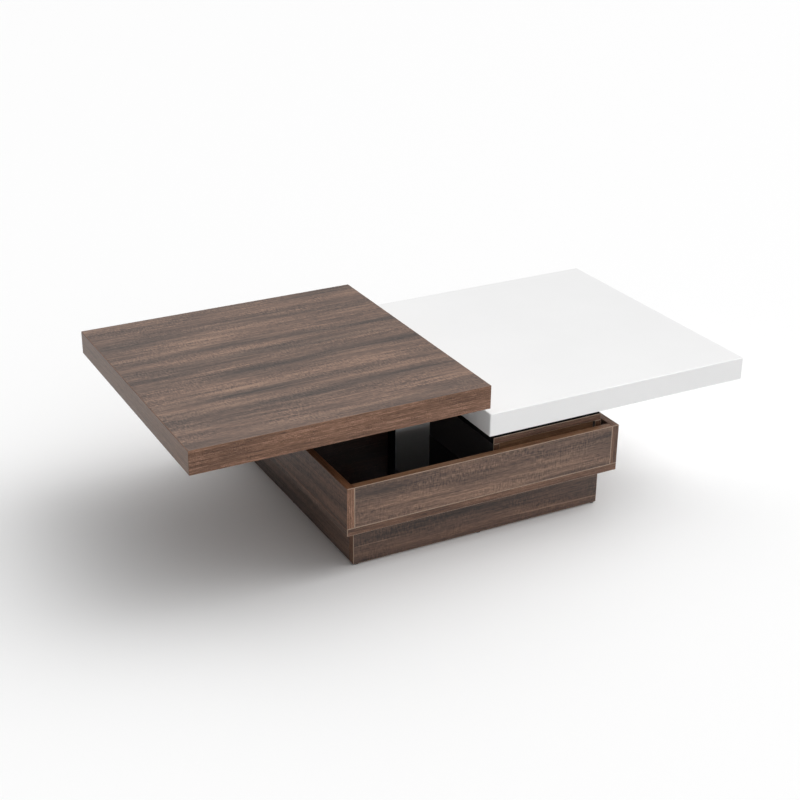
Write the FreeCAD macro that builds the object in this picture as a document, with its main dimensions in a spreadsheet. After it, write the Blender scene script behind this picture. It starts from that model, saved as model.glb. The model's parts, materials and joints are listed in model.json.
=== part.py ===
import FreeCAD, Part
import math
import os
import re
from types import SimpleNamespace

import Sketcher
from FreeCAD import Placement, Rotation, Vector

# Swivel coffee table. An open square tray stands on a recessed plinth. Inside it, in two
# opposite corners, stand a low box and a high box. Each box carries a square top on a ball
# bearing: the white top turns on the low box, and the walnut top on the high box, which is
# just tall enough for the walnut top to pass over the white one.
#
# Millimetres, +Z up, the origin on the floor under the middle of the tray.
# +X points from the walnut top to the white top, and +Y to the back.

DRIVING_SIZES = (
    # alias, value, what it is
    ("tray_side", 700, "outer side of the square tray"),
    ("tray_board", 18, "thickness of the tray's boards"),
    ("tray_wall", 98, "height of the tray's panels above its bottom board"),
    ("liner_thick", 3, "thickness of the glossy sheet on the tray's floor"),
    ("liner_play", 0.5, "gap between the floor sheet and the tray's panels"),
    ("plinth_inset", 29, "how far the plinth stands back under the tray"),
    ("plinth_board", 18, "thickness of the plinth's boards"),
    ("plinth_height", 92, "height of the plinth's boards"),
    ("glide_height", 3, "thickness of a floor glide"),
    ("glide_radius", 8, "radius of a floor glide"),
    ("corner_block", 40, "side and height of a corner block in the plinth"),
    ("box_board", 16, "thickness of the boards of the two boxes"),
    ("panel_recess", 8, "how far a box's front and back panels lie behind its sides"),
    ("wall_gap", 12, "gap between a box and the tray's panels"),
    ("middle_gap", 60, "gap between the two boxes, along X and along Y"),
    ("box_rise", 23, "how far the low box stands above the tray's rim"),
    ("swing_gap", 15, "gap between the white top and the walnut top above it"),
    ("packer_thick", 9, "thickness of the packer board under a bearing"),
    ("packer_margin", 10, "how far the packer board stands out past the bearing"),
    ("plate_side", 200, "side of a square bearing plate"),
    ("plate_thick", 3, "thickness of a bearing plate"),
    ("plate_corner", 10, "corner radius of a bearing plate"),
    ("ball_gap", 7, "height between the two plates of a bearing"),
    ("ball_radius", 4.2, "radius of a bearing ball"),
    ("ball_play", 0.3, "gap between a ball and its track or cage"),
    ("ball_count", 20, "balls in one bearing"),
    ("race_radius", 70, "radius of the circle that the balls run on"),
    ("cage_width", 18, "radial width of the ball cage"),
    ("cage_thick", 2.5, "thickness of the ball cage"),
    ("rivet_radius", 16, "outer radius of the hollow rivet that holds two plates together"),
    ("rivet_wall", 3, "wall of the hollow rivet"),
    ("rivet_lip", 6, "how far the rivet's flanges stand out past its tube"),
    ("flange_thick", 1.2, "thickness of the rivet's flanges"),
    ("flange_seat", 1.5, "depth of the seat in each plate for a rivet flange"),
    ("rivet_play", 0.3, "gap between the rivet and what turns round it"),
    ("top_side", 700, "side of each square top"),
    ("top_thick", 55, "thickness of each top"),
    ("skin_thick", 5, "thickness of a top's upper and lower skins"),
    ("band_thick", 1.5, "thickness of the edge band round a top"),
    ("rail_width", 40, "width of the frame rails inside a top"),
    ("dowel_radius", 4, "radius of a wooden dowel"),
    ("dowel_length", 30, "length of a wooden dowel"),
    ("dowel_bite", 10, "depth of a dowel in the board that covers the joint"),
    ("dowel_inset", 25, "distance of a dowel from the end of its joint"),
    ("board_screw_radius", 3, "radius of a screw that joins two boards"),
    ("board_screw_head", 5, "head radius of a screw that joins two boards"),
    ("board_screw_length", 50, "length of a screw that joins two boards"),
    ("board_screw_inset", 60, "distance of a screw from the end of its joint"),
    ("plate_screw_radius", 2, "radius of a bearing screw"),
    ("plate_screw_head", 4, "head radius of a bearing screw"),
    ("plate_screw_inset", 18, "distance of a bearing screw from the plate's edges"),
    ("screw_bite", 12, "depth of a short screw in the board that it holds"),
    ("fastener_play", 0.05, "gap between a fastener and its hole"),
)

DERIVED_SIZES = (
    # alias, formula, what it is
    ("plinth_side", "tray_side - 2 * plinth_inset", "outer side of the plinth"),
    ("plinth_inside", "plinth_side - 2 * plinth_board", "inner side of the plinth"),
    ("tray_inside", "tray_side - 2 * tray_board", "inner side of the tray"),
    ("tray_base", "glide_height + plinth_height", "underside of the tray"),
    ("tray_floor", "tray_base + tray_board", "upper face of the tray's bottom board"),
    ("tray_rim", "tray_floor + tray_wall", "upper edge of the tray"),
    ("box_base", "tray_floor + liner_thick", "underside of the two boxes"),
    ("box_side", "tray_side / 2 - tray_board - wall_gap - middle_gap / 2", "side of a box"),
    ("pivot_place", "(middle_gap + box_side) / 2", "each pivot's distance from X = 0 and Y = 0"),
    ("packer_side", "plate_side + 2 * packer_margin", "side of the packer board"),
    ("bearing_height", "packer_thick + 2 * plate_thick + ball_gap", "a box's top to its table top"),
    ("low_box_top", "tray_rim + box_rise", "upper face of the low box"),
    ("white_base", "low_box_top + bearing_height", "underside of the white top"),
    ("high_box_top", "low_box_top + top_thick + swing_gap", "upper face of the high box"),
    ("walnut_base", "high_box_top + bearing_height", "underside of the walnut top"),
    ("core_thick", "top_thick - 2 * skin_thick", "thickness of a top between its skins"),
    ("pivot_block_side", "2 * (pivot_place - band_thick - rail_width)", "side of a pivot block"),
    ("flange_radius", "rivet_radius + rivet_lip", "outer radius of the rivet's flanges"),
    ("seat_radius", "flange_radius + rivet_play", "radius of a flange's seat"),
    ("track_radius", "ball_radius + ball_play", "radius of the groove that the balls run in"),
)

# Each swivel: the top, the box that carries it, its turn of the layout, and its heights.
SWIVELS = (
    SimpleNamespace(top="white", box="low_box", sign=1, box_top="low_box_top", base="white_base"),
    SimpleNamespace(top="walnut", box="high_box", sign=-1, box_top="high_box_top", base="walnut_base"),
)

UP = Vector(0, 0, 1)
DOWN = Vector(0, 0, -1)

doc = FreeCAD.newDocument("swivel_coffee_table")
nodes = []


# Sizes and bindings.

def make_sheet():
    """Put the driving sizes, and the sizes that follow from them, into a spreadsheet."""
    table = doc.addObject("Spreadsheet::Sheet", "Sizes")
    cells = [(alias, str(value), words) for alias, value, words in DRIVING_SIZES]
    cells += [(alias, "=" + text, words) for alias, text, words in DERIVED_SIZES]
    for row, (alias, content, words) in enumerate(cells, start=1):
        table.set(f"A{row}", words)
        table.set(f"B{row}", content)
        table.setAlias(f"B{row}", alias)
    doc.recompute()
    return SimpleNamespace(**{alias: float(table.get(alias)) for alias, _, _ in cells})


size = make_sheet()


def bind(item, **formulas):
    """Tie properties to formulas, in which each word is a cell of the sheet.

    The short names x, y and z stand for the item's place.
    """
    paths = {"x": "Placement.Base.x", "y": "Placement.Base.y", "z": "Placement.Base.z"}
    for name, text in formulas.items():
        full_text = re.sub(r"[a-z]\w+", lambda word: "Sizes." + word.group(), str(text))
        item.setExpression(paths.get(name, name), full_text)


def node(item, label):
    """Name an item as one of the finished pieces."""
    item.Label = label
    nodes.append(item)
    return item


# Boards and booleans.

def board(label, x, y, z):
    """A board between the two formulas given for each of its axes, low one first."""
    item = doc.addObject("Part::Box", label)
    bind(item, Length=f"({x[1]}) - ({x[0]})", Width=f"({y[1]}) - ({y[0]})",
         Height=f"({z[1]}) - ({z[0]})", x=x[0], y=y[0], z=z[0])
    return item


def cut(label, base, *tools):
    """Cut the tools out of a piece, one after the other."""
    for number, tool in enumerate(tools, start=1):
        result = doc.addObject("Part::Cut", f"{label}_cut_{number}")
        result.Base = base
        result.Tool = tool
        base = result
    return base


def centred(side, centre="0"):
    """The two formulas of a length laid evenly about a centre."""
    return f"{centre} - ({side}) / 2", f"{centre} + ({side}) / 2"


def upward(base, height):
    """The two formulas of a height above a base."""
    return base, f"{base} + {height}"


def inset(plan, amount):
    """A plan, which is a pair of formulas along X and a pair along Y, drawn in all round."""
    return [(f"{low} + {amount}", f"{high} - {amount}") for low, high in plan]


def frame_plan(outer, inner, full_sides):
    """The plans of the four boards between an outer and an inner rectangle.

    The left and right boards cover the ends of the others if full_sides, or butt against them.
    """
    (x_outer, y_outer), (x_inner, y_inner) = outer, inner
    x_long, y_long = (x_inner, y_outer) if full_sides else (x_outer, y_inner)
    return {
        "front": (x_long, (y_outer[0], y_inner[0])),
        "back": (x_long, (y_inner[1], y_outer[1])),
        "left": ((x_outer[0], x_inner[0]), y_long),
        "right": ((x_inner[1], x_outer[1]), y_long),
    }


def pivot_formulas(swivel):
    """The formulas of a swivel's X and Y."""
    return f"{swivel.sign} * pivot_place", f"{-swivel.sign} * pivot_place"


def pivot_point(swivel):
    """The point on a swivel's axis at the height of the floor."""
    return Vector(swivel.sign, -swivel.sign, 0) * size.pivot_place


def compound(label, shapes):
    """Several separate solids as one item."""
    item = doc.addObject("Part::Feature", label)
    item.Shape = Part.Compound(shapes)
    return item


# Fasteners.

def dowel_solid(play):
    """A dowel along +Z, from its bite below the joint's face to its end above it."""
    low = -size.dowel_bite - play
    length = size.dowel_length + 2 * play
    return Part.makeCylinder(size.dowel_radius + play, length, Vector(0, 0, low))


def screw_solid(shank, head, length, play):
    """A countersunk screw that points down, with the flat of its head at z = 0."""
    shank = shank + play
    head = head + play
    tip = -(length + play)
    outline = [(0, 0), (head, 0), (shank, shank - head), (shank, tip + shank), (0, tip)]
    points = [Vector(radius, 0, height) for radius, height in outline + outline[:1]]
    return Part.Face(Part.makePolygon(points)).revolve(Vector(0, 0, 0), UP, 360)


def board_screw(play):
    """The long screw that joins two boards."""
    return screw_solid(size.board_screw_radius, size.board_screw_head,
                       size.board_screw_length, play)


def plinth_screw(play):
    """The screw through a corner block into the tray's bottom board."""
    length = size.corner_block + size.screw_bite
    return screw_solid(size.board_screw_radius, size.board_screw_head, length, play)


def plate_screw(play):
    """The screw through a bearing plate and the packer board."""
    length = size.plate_thick + size.packer_thick + size.screw_bite
    return screw_solid(size.plate_screw_radius, size.plate_screw_head, length, play)


def fasteners(label, solid, spots):
    """A node of identical fasteners, and the holes that they need.

    Each spot is a point and the direction that the fastener's own +Z takes there.
    """
    def laid_out(play):
        placed = []
        for point, direction in spots:
            copy = solid(play)
            copy.Placement = Placement(Vector(point), Rotation(UP, direction))
            placed.append(copy)
        return placed

    node(compound(label, laid_out(0)), label)
    return compound(label + "_holes", laid_out(size.fastener_play))


def ends(length, inset):
    """The two places at an inset from the ends of a length laid evenly about 0."""
    return -(length / 2 - inset), length / 2 - inset


# Sketches.

def sketch_on(body, role):
    """A sketch on one of a body's own origin planes."""
    plane = next(item for item in body.Origin.OriginFeatures if item.Role == role)
    sketch = body.newObject("Sketcher::SketchObject", f"{body.Name}_sketch")
    sketch.AttachmentSupport = (plane, [""])
    sketch.MapMode = "FlatFace"
    return sketch


def dimension(sketch, constraint, text):
    """Add a constraint whose value follows a formula."""
    index = sketch.addConstraint(constraint)
    bind(sketch, **{f"Constraints[{index}]": text})


def draw_circle(sketch, radius, x="0", y="0"):
    """A circle of a radius about a point of the sketch."""
    index = sketch.addGeometry(Part.Circle(Vector(0, 0, 0), UP, 1))
    dimension(sketch, Sketcher.Constraint("Radius", index, 1), radius)
    for name, text in (("DistanceX", x), ("DistanceY", y)):
        if text == "0":
            axis = -2 if name == "DistanceX" else -1
            sketch.addConstraint(Sketcher.Constraint("PointOnObject", index, 3, axis))
        else:
            dimension(sketch, Sketcher.Constraint(name, -1, 1, index, 3, 1), text)


def draw_square(sketch, side):
    """A square about the sketch's origin."""
    corners = [Vector(-1, -1, 0), Vector(1, -1, 0), Vector(1, 1, 0), Vector(-1, 1, 0)]
    for start, end in zip(corners, corners[1:] + corners[:1]):
        sketch.addGeometry(Part.LineSegment(start, end))
    for line in range(4):
        sketch.addConstraint(Sketcher.Constraint("Coincident", line, 2, (line + 1) % 4, 1))
        direction = "Horizontal" if line % 2 == 0 else "Vertical"
        sketch.addConstraint(Sketcher.Constraint(direction, line))
    sketch.addConstraint(Sketcher.Constraint("Symmetric", 0, 1, 1, 2, -1, 1))
    dimension(sketch, Sketcher.Constraint("DistanceX", 0, 1, 0, 2, 2), side)
    dimension(sketch, Sketcher.Constraint("DistanceY", 1, 1, 1, 2, 2), side)


def add_feature(body, kind, sketch, **formulas):
    """A feature of a body made from a sketch, with its sizes tied to formulas."""
    feature = body.newObject(f"PartDesign::{kind}", f"{body.Name}_{kind.lower()}")
    feature.Profile = sketch
    bind(feature, **formulas)
    return feature


# Fasteners of the base.

def dowel_spots():
    """The dowels at the corners of the plinth and the tray, and in the two boxes."""
    spots = []
    middle = (size.plinth_side + size.plinth_inside) / 4
    heights = (size.glide_height + size.dowel_inset, size.tray_base - size.dowel_inset)
    spots += [((x * middle, y * size.plinth_inside / 2, z), Vector(0, -y, 0))
              for x in (-1, 1) for y in (-1, 1) for z in heights]

    middle = (size.tray_side + size.tray_inside) / 4
    heights = (size.tray_floor + size.dowel_inset, size.tray_rim - size.dowel_inset)
    spots += [((x * size.tray_inside / 2, y * middle, z), Vector(-x, 0, 0))
              for x in (-1, 1) for y in (-1, 1) for z in heights]

    inner = size.box_side / 2 - size.box_board
    middle = size.box_side / 2 - size.panel_recess - size.box_board / 2
    for swivel in SWIVELS:
        centre = pivot_point(swivel)
        under_top = getattr(size, swivel.box_top) - size.box_board
        heights = (size.box_base + size.dowel_inset, under_top - size.dowel_inset)
        spots += [(centre + Vector(x * inner, y * middle, z), Vector(-x, 0, 0))
                  for x in (-1, 1) for y in (-1, 1) for z in heights]
        spots += [(centre + Vector(x, y, under_top), DOWN)
                  for x in ends(size.box_side, size.box_board / 2)
                  for y in ends(size.box_side, size.dowel_inset)]
    return spots


def board_screw_spots():
    """The screws up through the tray's bottom board into its panels and into the boxes."""
    middle = (size.tray_side + size.tray_inside) / 4
    side_places = (*ends(size.tray_side, size.board_screw_inset), 0)
    front_places = (*ends(size.tray_inside, size.board_screw_inset), 0)
    points = [Vector(x * middle, y, size.tray_base) for x in (-1, 1) for y in side_places]
    points += [Vector(x, y * middle, size.tray_base) for x in front_places for y in (-1, 1)]
    for swivel in SWIVELS:
        points += [pivot_point(swivel) + Vector(x, y, size.tray_base)
                   for x in ends(size.box_side, size.box_board / 2)
                   for y in ends(size.box_side, size.board_screw_inset)]
    return [(point, DOWN) for point in points]


def corner_block_points():
    """The middle of the underside of each corner block in the plinth."""
    place = (size.plinth_inside - size.corner_block) / 2
    height = size.tray_base - size.corner_block
    return [Vector(x * place, y * place, height) for x in (-1, 1) for y in (-1, 1)]


def plate_screw_spots(swivels, height, direction):
    """The four corners of a bearing plate on each swivel, at a height above its box."""
    corners = ends(size.plate_side, size.plate_screw_inset)
    return [(pivot_point(swivel) + Vector(x, y, getattr(size, swivel.box_top) + height), direction)
            for swivel in swivels for x in corners for y in corners]


# Plinth.

def make_plinth(holes):
    """Four boards on glides, a brace, and a screwed block in each corner."""
    middle = (size.plinth_side + size.plinth_inside) / 4
    spots = [(x, y) for x in (-middle, 0, middle) for y in (-middle, 0, middle) if x or y]
    glides = [Part.makeCylinder(size.glide_radius, size.glide_height, Vector(x, y, 0))
              for x, y in spots]
    node(compound("floor_glides", glides), "floor_glides")

    rise = upward("glide_height", "plinth_height")
    outside = centred("plinth_side")
    inside = centred("plinth_inside")
    boards = frame_plan((outside, outside), (inside, inside), full_sides=False)
    for name, (x, y) in boards.items():
        blank = board(f"plinth_{name}_blank", x, y, rise)
        node(cut(f"plinth_{name}_board", blank, holes.dowels), f"plinth_{name}_board")
    node(board("plinth_brace", centred("plinth_board"), inside, rise), "plinth_brace")

    side = size.corner_block
    blocks = [Part.makeBox(side, side, side, point - Vector(side / 2, side / 2, 0))
              for point in corner_block_points()]
    blank = compound("corner_blocks_blank", blocks)
    node(cut("plinth_corner_blocks", blank, holes.plinth_screws), "plinth_corner_blocks")


# Tray.

def make_tray(holes):
    """A bottom board with four panels on it, and a glossy sheet on its floor."""
    outside = centred("tray_side")
    inside = centred("tray_inside")
    blank = board("tray_bottom_blank", outside, outside, upward("tray_base", "tray_board"))
    bottom = cut("tray_bottom_board", blank, holes.board_screws, holes.plinth_screws)
    node(bottom, "tray_bottom_board")

    panels = frame_plan((outside, outside), (inside, inside), full_sides=True)
    for name, (x, y) in panels.items():
        blank = board(f"tray_{name}_blank", x, y, upward("tray_floor", "tray_wall"))
        panel = cut(f"tray_{name}_panel", blank, holes.board_screws, holes.dowels)
        node(panel, f"tray_{name}_panel")

    liner = centred("tray_inside - 2 * liner_play")
    blank = board("liner_blank", liner, liner, upward("tray_floor", "liner_thick"))
    node(cut("tray_floor_liner", blank, holes.board_screws), "tray_floor_liner")


# Boxes.

def make_box(swivel, holes):
    """Two full-depth sides, recessed front and back panels, and a top board over them."""
    name = swivel.box
    x_centre, y_centre = pivot_formulas(swivel)
    x_outside = centred("box_side", x_centre)
    y_outside = centred("box_side", y_centre)
    x_inside = centred("box_side - 2 * box_board", x_centre)
    y_faces = centred("box_side - 2 * panel_recess", y_centre)
    y_backs = centred("box_side - 2 * panel_recess - 2 * box_board", y_centre)
    under_top = f"{swivel.box_top} - box_board"

    blank = board(f"{name}_top_blank", x_outside, y_outside, (under_top, swivel.box_top))
    node(cut(f"{name}_top_board", blank, holes.dowels, holes.lower_plates), f"{name}_top_board")

    panels = {
        "left": ((x_outside[0], x_inside[0]), y_outside),
        "right": ((x_inside[1], x_outside[1]), y_outside),
        "front": (x_inside, (y_faces[0], y_backs[0])),
        "back": (x_inside, (y_backs[1], y_faces[1])),
    }
    for place, (x, y) in panels.items():
        label = f"{name}_{place}_panel"
        blank = board(label + "_blank", x, y, ("box_base", under_top))
        node(cut(label, blank, holes.dowels, holes.board_screws), label)


# Bearings.

def place_on_pivot(item, swivel, z):
    """Put an item on a swivel's axis at a height."""
    x, y = pivot_formulas(swivel)
    bind(item, x=x, y=y, z=z)


def make_plate(label):
    """A square plate with its outer face on XY and its ball track in the upper face."""
    body = doc.addObject("PartDesign::Body", label + "_body")
    outline = sketch_on(body, "XY_Plane")
    draw_square(outline, "plate_side")
    plate = add_feature(body, "Pad", outline, Length="plate_thick")
    doc.recompute()

    corners = [f"Edge{number}" for number, edge in enumerate(plate.Shape.Edges, start=1)
               if abs(edge.tangentAt(edge.FirstParameter).z) > 0.5]
    rounding = body.newObject("PartDesign::Fillet", label + "_fillet")
    rounding.Base = (plate, corners)
    bind(rounding, Radius="plate_corner")

    hole = sketch_on(body, "XY_Plane")
    draw_circle(hole, "rivet_radius + rivet_play")
    bore = add_feature(body, "Pocket", hole, Length="plate_thick")
    bore.Reversed = True

    seat = sketch_on(body, "XY_Plane")
    draw_circle(seat, "seat_radius")
    recess = add_feature(body, "Pocket", seat, Length="flange_seat")
    recess.Reversed = True

    track = sketch_on(body, "XZ_Plane")
    draw_circle(track, "track_radius", "race_radius", "plate_thick + ball_gap / 2")
    groove = add_feature(body, "Groove", track)
    groove.ReferenceAxis = (track, ["V_Axis"])
    groove.Angle = 360
    body.Tip = groove
    return body


def make_cage(label, swivel, middle):
    """A flat ring that keeps the balls apart, with one hole for each."""
    body = doc.addObject("PartDesign::Body", label)
    outline = sketch_on(body, "XY_Plane")
    draw_circle(outline, "race_radius + cage_width / 2")
    draw_circle(outline, "race_radius - cage_width / 2")
    ring = add_feature(body, "Pad", outline, Length="cage_thick")
    ring.Midplane = True

    hole = sketch_on(body, "XY_Plane")
    draw_circle(hole, "track_radius", "race_radius")
    pocket = add_feature(body, "Pocket", hole, Length="2 * cage_thick")
    pocket.Midplane = True

    pattern = body.newObject("PartDesign::PolarPattern", label + "_holes")
    pattern.Originals = [pocket]
    pattern.Axis = (hole, ["N_Axis"])
    pattern.Angle = 360
    bind(pattern, Occurrences="ball_count")
    body.Tip = pattern
    place_on_pivot(body, swivel, middle)
    node(body, label)


def make_balls(label, swivel, middle):
    """The ring of steel balls."""
    count = round(size.ball_count)
    balls = []
    for number in range(count):
        angle = 2 * math.pi * number / count
        ball = Part.makeSphere(size.ball_radius)
        ball.translate(Vector(math.cos(angle), math.sin(angle), 0) * size.race_radius)
        balls.append(ball)
    ring = compound(label, balls)
    place_on_pivot(ring, swivel, middle)
    node(ring, label)


def make_rivet(label, swivel, base):
    """A hollow rivet: a tube with a flange in the seat of each plate."""
    tube = size.rivet_radius
    bore = tube - size.rivet_wall
    flange = size.flange_radius
    height = 2 * size.plate_thick + size.ball_gap
    low = (size.flange_seat - size.flange_thick) / 2
    high = height - low
    lip = size.flange_thick
    outline = [(bore, low), (flange, low), (flange, low + lip), (tube, low + lip),
               (tube, high - lip), (flange, high - lip), (flange, high), (bore, high)]
    points = [Vector(radius, 0, z) for radius, z in outline + outline[:1]]
    rivet = doc.addObject("Part::Feature", label)
    rivet.Shape = Part.Face(Part.makePolygon(points)).revolve(Vector(0, 0, 0), UP, 360)
    place_on_pivot(rivet, swivel, base)
    node(rivet, label)


def make_bearing(swivel, lower_holes, upper_holes):
    """A packer board, two plates held by a hollow rivet, and balls in a cage between them."""
    name = swivel.top
    x, y = (centred("packer_side", centre) for centre in pivot_formulas(swivel))
    blank = board(f"{name}_packer_blank", x, y, upward(swivel.box_top, "packer_thick"))
    node(cut(f"{name}_packer_board", blank, lower_holes), f"{name}_packer_board")

    plate_base = f"{swivel.box_top} + packer_thick"
    lower = make_plate(f"{name}_lower_plate")
    place_on_pivot(lower, swivel, plate_base)
    node(cut(f"{name}_lower_plate", lower, lower_holes), f"{name}_lower_plate")

    upper = make_plate(f"{name}_upper_plate")
    upper.Placement = Placement(Vector(0, 0, 0), Rotation(Vector(1, 0, 0), 180))
    place_on_pivot(upper, swivel, swivel.base)
    node(cut(f"{name}_upper_plate", upper, upper_holes), f"{name}_upper_plate")

    middle = f"{plate_base} + plate_thick + ball_gap / 2"
    make_cage(f"{name}_ball_cage", swivel, middle)
    make_balls(f"{name}_balls", swivel, middle)
    make_rivet(f"{name}_bearing_rivet", swivel, plate_base)


# Tops.

def make_top(swivel, upper_holes):
    """Two skins over a frame of rails, a pivot block and a light core, with edge bands."""
    name = swivel.top
    reach = "2 * pivot_place"
    if swivel.sign > 0:
        edges = (("0", "top_side"), (f"-{reach}", f"top_side - {reach}"))
    else:
        edges = (("-top_side", "0"), (f"{reach} - top_side", reach))
    panel = inset(edges, "band_thick")
    inner = inset(panel, "rail_width")
    block = [centred("pivot_block_side", centre) for centre in pivot_formulas(swivel)]
    lower_skin = upward(swivel.base, "skin_thick")
    core_rise = upward(f"{swivel.base} + skin_thick", "core_thick")
    upper_skin = upward(f"{swivel.base} + skin_thick + core_thick", "skin_thick")

    blank = board(f"{name}_lower_skin_blank", *panel, lower_skin)
    node(cut(f"{name}_lower_skin", blank, upper_holes), f"{name}_lower_skin")
    node(board(f"{name}_upper_skin", *panel, upper_skin), f"{name}_upper_skin")

    for place, (x, y) in frame_plan(panel, inner, full_sides=False).items():
        node(board(f"{name}_{place}_rail", x, y, core_rise), f"{name}_{place}_rail")

    blank = board(f"{name}_block_blank", *block, core_rise)
    node(cut(f"{name}_pivot_block", blank, upper_holes), f"{name}_pivot_block")
    blank = board(f"{name}_core_blank", *inner, core_rise)
    corner = board(f"{name}_core_corner", *block, core_rise)
    node(cut(f"{name}_core", blank, corner), f"{name}_core")

    rise = upward(swivel.base, "top_thick")
    bands = doc.addObject("Part::Compound", f"{name}_edge_bands")
    bands.Links = [board(f"{name}_{place}_band", x, y, rise)
                   for place, (x, y) in frame_plan(edges, panel, full_sides=False).items()]
    node(bands, f"{name}_edge_bands")


# The table.

def make_table():
    """Every piece, from the floor up."""
    on_packer = size.packer_thick + size.plate_thick
    under_top = size.bearing_height - size.plate_thick
    plinth_spots = [(point, DOWN) for point in corner_block_points()]
    plate_spots = plate_screw_spots(SWIVELS, on_packer, UP)
    holes = SimpleNamespace(
        dowels=fasteners("dowels", dowel_solid, dowel_spots()),
        board_screws=fasteners("board_screws", board_screw, board_screw_spots()),
        plinth_screws=fasteners("plinth_screws", plinth_screw, plinth_spots),
        lower_plates=fasteners("lower_plate_screws", plate_screw, plate_spots),
    )
    make_plinth(holes)
    make_tray(holes)
    for swivel in SWIVELS:
        spots = plate_screw_spots([swivel], under_top, DOWN)
        upper_holes = fasteners(f"{swivel.top}_plate_screws", plate_screw, spots)
        make_box(swivel, holes)
        make_bearing(swivel, holes.lower_plates, upper_holes)
        make_top(swivel, upper_holes)
    doc.recompute()


def write_pieces():
    """Check every item and every piece, then write one STEP file for each piece."""
    failed = [item.Label for item in doc.Objects if {"Invalid", "Error"} & set(item.State)]
    if failed:
        raise RuntimeError(f"failed items: {failed}")
    for item in nodes:
        if item.Shape.isNull() or not item.Shape.isValid():
            raise RuntimeError(f"{item.Label} has no valid shape")
    os.makedirs("parts", exist_ok=True)
    for item in nodes:
        item.Shape.exportStep(f"parts/{item.Label}.step")
        print(f"{item.Label}: {len(item.Shape.Solids)} solids, {item.Shape.Volume / 1000:.1f} cm3")


make_table()
write_pieces()
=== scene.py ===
import json
import math

import bpy
import numpy as np
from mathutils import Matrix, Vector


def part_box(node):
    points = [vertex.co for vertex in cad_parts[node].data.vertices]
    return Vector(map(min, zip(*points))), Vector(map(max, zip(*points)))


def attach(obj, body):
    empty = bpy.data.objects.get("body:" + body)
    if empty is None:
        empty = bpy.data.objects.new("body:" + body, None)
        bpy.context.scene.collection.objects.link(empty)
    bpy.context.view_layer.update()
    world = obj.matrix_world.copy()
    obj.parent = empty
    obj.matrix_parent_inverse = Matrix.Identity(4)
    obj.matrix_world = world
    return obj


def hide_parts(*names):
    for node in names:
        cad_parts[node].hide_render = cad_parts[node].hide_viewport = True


# Swivel coffee table: eased and edge-banded boards, lacquered and walnut tops, bearings and screws
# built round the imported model. Metres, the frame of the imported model.

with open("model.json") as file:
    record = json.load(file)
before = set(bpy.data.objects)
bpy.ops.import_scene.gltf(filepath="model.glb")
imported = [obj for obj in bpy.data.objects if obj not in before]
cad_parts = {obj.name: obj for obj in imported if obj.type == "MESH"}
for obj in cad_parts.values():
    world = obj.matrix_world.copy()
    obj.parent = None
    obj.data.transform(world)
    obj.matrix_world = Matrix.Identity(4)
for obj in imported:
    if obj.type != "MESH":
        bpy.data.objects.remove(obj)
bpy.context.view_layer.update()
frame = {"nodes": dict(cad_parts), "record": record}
record = frame["record"]
bodyOf = {node: body for body, nodes in record["behaviour"]["bodies"].items() for node in nodes}
slotOf = {part["node"]: part["material_slot"] for part in record["subparts"]}
mm = 0.001
axisX, axisY, axisZ = 0, 1, 2
weldStep = 0.001 * mm                # points that round to the same step are one point
sharpAngle = math.radians(32)        # edges bent more than this shade as sharp
print("frame loaded:", len(frame["nodes"]), "nodes")


def gridFaces(rows, columns, closedRows=False):
    # quads of a grid of points numbered row by row, closed round its columns, turned outwards
    # where the rows run down and the columns run counterclockwise from above
    row = np.arange(rows if closedRows else rows - 1)[:, None]
    column = np.arange(columns)[None, :]
    below = (row + 1) % rows * columns
    beside = (column + 1) % columns
    row = row * columns
    quads = np.stack([row + column, below + column, below + beside, row + beside], -1)
    return quads.reshape(-1, 4).tolist()


def makePiece(name, points, faces, normals=None):
    # one mesh object; points in the same place become one; a face that loses a corner keeps the
    # others, and one left with two goes; normals, one for each point given, keep flats flat
    # beside rounded edges
    places = np.round(points / weldStep).astype(np.int64)
    first, welded = np.unique(places, axis=0, return_index=True, return_inverse=True)[1:]
    welded = welded.ravel().tolist()
    corners = [{welded[point]: point for point in face} for face in faces]
    corners = [face for face in corners if len(face) > 2]
    mesh = bpy.data.meshes.new(name)
    mesh.from_pydata(points[first].tolist(), [], [list(face) for face in corners])
    mesh.polygons.foreach_set("use_smooth", np.ones(len(corners), bool))
    if normals is None:
        mesh.set_sharp_from_angle(angle=sharpAngle)
    else:
        chosen = [point for face in corners for point in face.values()]
        mesh.normals_split_custom_set(normals[chosen].tolist())
    piece = bpy.data.objects.new(name, mesh)
    bpy.context.scene.collection.objects.link(piece)
    return piece


def easedBox(low, high, ease, steps=4):
    # a box with rounded edges: each point is a corner of the box drawn in by the ease, plus the
    # ease times a direction of the unit sphere; the rows and columns of directions are doubled
    # where they pass from one corner to the next, and the doubled ones span the flat sides
    low, high = np.array(low), np.array(high)
    quarter = np.linspace(0, math.pi / 2, steps + 1)
    tilt = np.concatenate([quarter, quarter + math.pi / 2])[:, None]
    turn = np.concatenate([quarter + side * math.pi / 2 for side in range(4)])[None, :]
    direction = np.stack(np.broadcast_arrays(
        np.sin(tilt) * np.cos(turn), np.sin(tilt) * np.sin(turn), np.cos(tilt)), -1)
    corner = np.stack(np.broadcast_arrays(
        np.repeat([1, -1, -1, 1], steps + 1)[None, :],
        np.repeat([1, 1, -1, -1], steps + 1)[None, :],
        np.repeat([1, -1], steps + 1)[:, None]), -1)
    points = (low + high) / 2 + corner * ((high - low) / 2 - ease) + direction * ease
    rows, columns = direction.shape[:2]
    ring = np.arange(0, columns, steps + 1)
    lid = [ring.tolist(), (ring[::-1] + (rows - 1) * columns).tolist()]
    return points.reshape(-1, 3), gridFaces(rows, columns) + lid, direction.reshape(-1, 3)


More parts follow.
